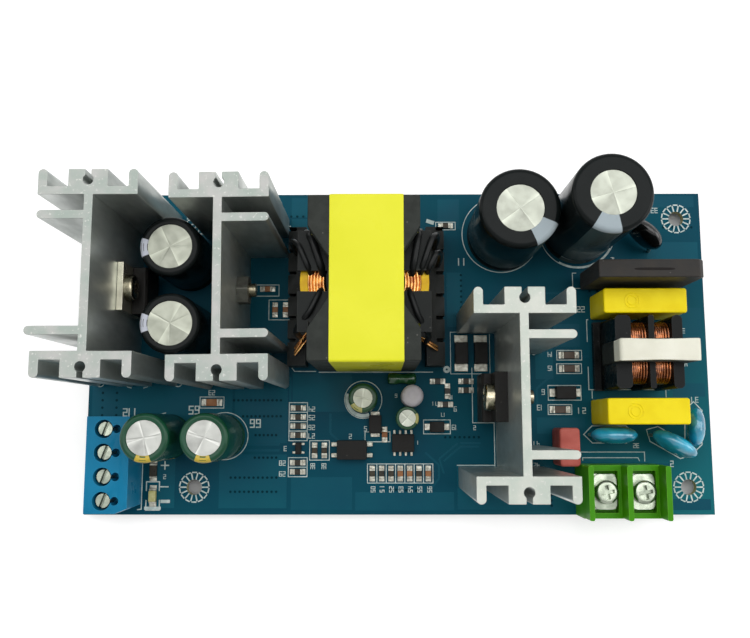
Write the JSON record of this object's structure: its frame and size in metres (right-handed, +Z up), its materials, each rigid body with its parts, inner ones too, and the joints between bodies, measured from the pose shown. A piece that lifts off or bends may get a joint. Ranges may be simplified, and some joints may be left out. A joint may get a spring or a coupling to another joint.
{
  "type": "open frame power supply",
  "caption": "Open power supply board: upright extruded heatsinks, a taped transformer, upright capacitors, a mains choke and screw terminal blocks at two corners.",
  "frame": {"origin": "middle of the mounting hole pattern, on the underside of the board", "axes": "+X along the board from the output terminals to the mains input, +Y from the edge with the terminal blocks to the far edge, +Z up out of the populated side"},
  "size_m": [0.1403, 0.073, 0.0386],
  "materials": {
    "board": "solder mask, glossy",
    "heatsink": "plain extruded, fine streaks along the fins",
    "zinc": "zinc plated",
    "black_resin": "moulded epoxy",
    "tinned": "tinned",
    "can": "bare, radially brushed",
    "black_sleeve": "shrunk sleeve with a pale stripe",
    "green_sleeve": "shrunk sleeve with a gold stripe",
    "grey_sleeve": "shrunk sleeve",
    "green_lacquer": "dipped lacquer",
    "ferrite": "ground ferrite",
    "bobbin": "moulded",
    "copper": "enamelled copper wire",
    "yellow_tape": "polyester tape",
    "cream_tape": "glass cloth tape",
    "yellow_box": "moulded case",
    "blue_lacquer": "dipped lacquer",
    "black_lacquer": "dipped lacquer",
    "brown_resin": "moulded epoxy",
    "red_case": "moulded case",
    "blue_block": "moulded",
    "green_block": "moulded",
    "chip_black": "glazed ceramic and epoxy",
    "chip_tan": "fired ceramic",
    "lamp": "clear resin",
    "solder": "bright solder"
  },
  "bodies": {
    "root": {"circuit_board": "board", "heatsink_left": "heatsink", "heatsink_right": "heatsink", "heatsink_primary": "heatsink", "heatsink_screws": "zinc", "heatsink_nuts": "zinc", "left_device_body": "black_resin", "left_device_tab": "tinned", "right_device_body": "black_resin", "right_device_tab": "tinned", "primary_switch_body": "black_resin", "primary_switch_leads": "tinned", "output_cap_back_can": "can", "output_cap_back_sleeve": "black_sleeve", "output_cap_front_can": "can", "output_cap_front_sleeve": "black_sleeve", "bulk_cap_left_can": "can", "bulk_cap_left_sleeve": "black_sleeve", "bulk_cap_right_can": "can", "bulk_cap_right_sleeve": "black_sleeve", "filter_cap_left_can": "can", "filter_cap_left_sleeve": "green_sleeve", "filter_cap_right_can": "can", "filter_cap_right_sleeve": "green_sleeve", "supply_cap_can": "can", "supply_cap_sleeve": "green_sleeve", "feedback_cap_can": "can", "feedback_cap_sleeve": "green_sleeve", "radial_inductor": "grey_sleeve", "axial_inductor": "green_lacquer", "transformer_core": "ferrite", "transformer_bobbin": "bobbin", "transformer_winding": "copper", "transformer_winding_tape": "yellow_tape", "transformer_core_tape": "yellow_tape", "choke_core": "ferrite", "choke_bobbin": "bobbin", "choke_windings": "copper", "choke_tape": "cream_tape", "x_capacitor_front": "yellow_box", "x_capacitor_back": "yellow_box", "y_capacitor_left": "blue_lacquer", "y_capacitor_middle": "blue_lacquer", "y_capacitor_right": "blue_lacquer", "thermistor_disc": "black_lacquer", "bridge_rectifier": "brown_resin", "fuse_body": "red_case", "component_leads": "tinned", "output_block_housing": "blue_block", "output_block_screws": "zinc", "output_block_cages": "zinc", "input_block_housing": "green_block", "input_block_screws": "zinc", "input_block_washers": "zinc", "control_chips": "chip_black", "chip_resistors": "chip_black", "chip_capacitors": "chip_tan", "chip_metal": "tinned", "indicator_lamp": "lamp", "solder_joints": "solder"}
  },
  "joints": []
}
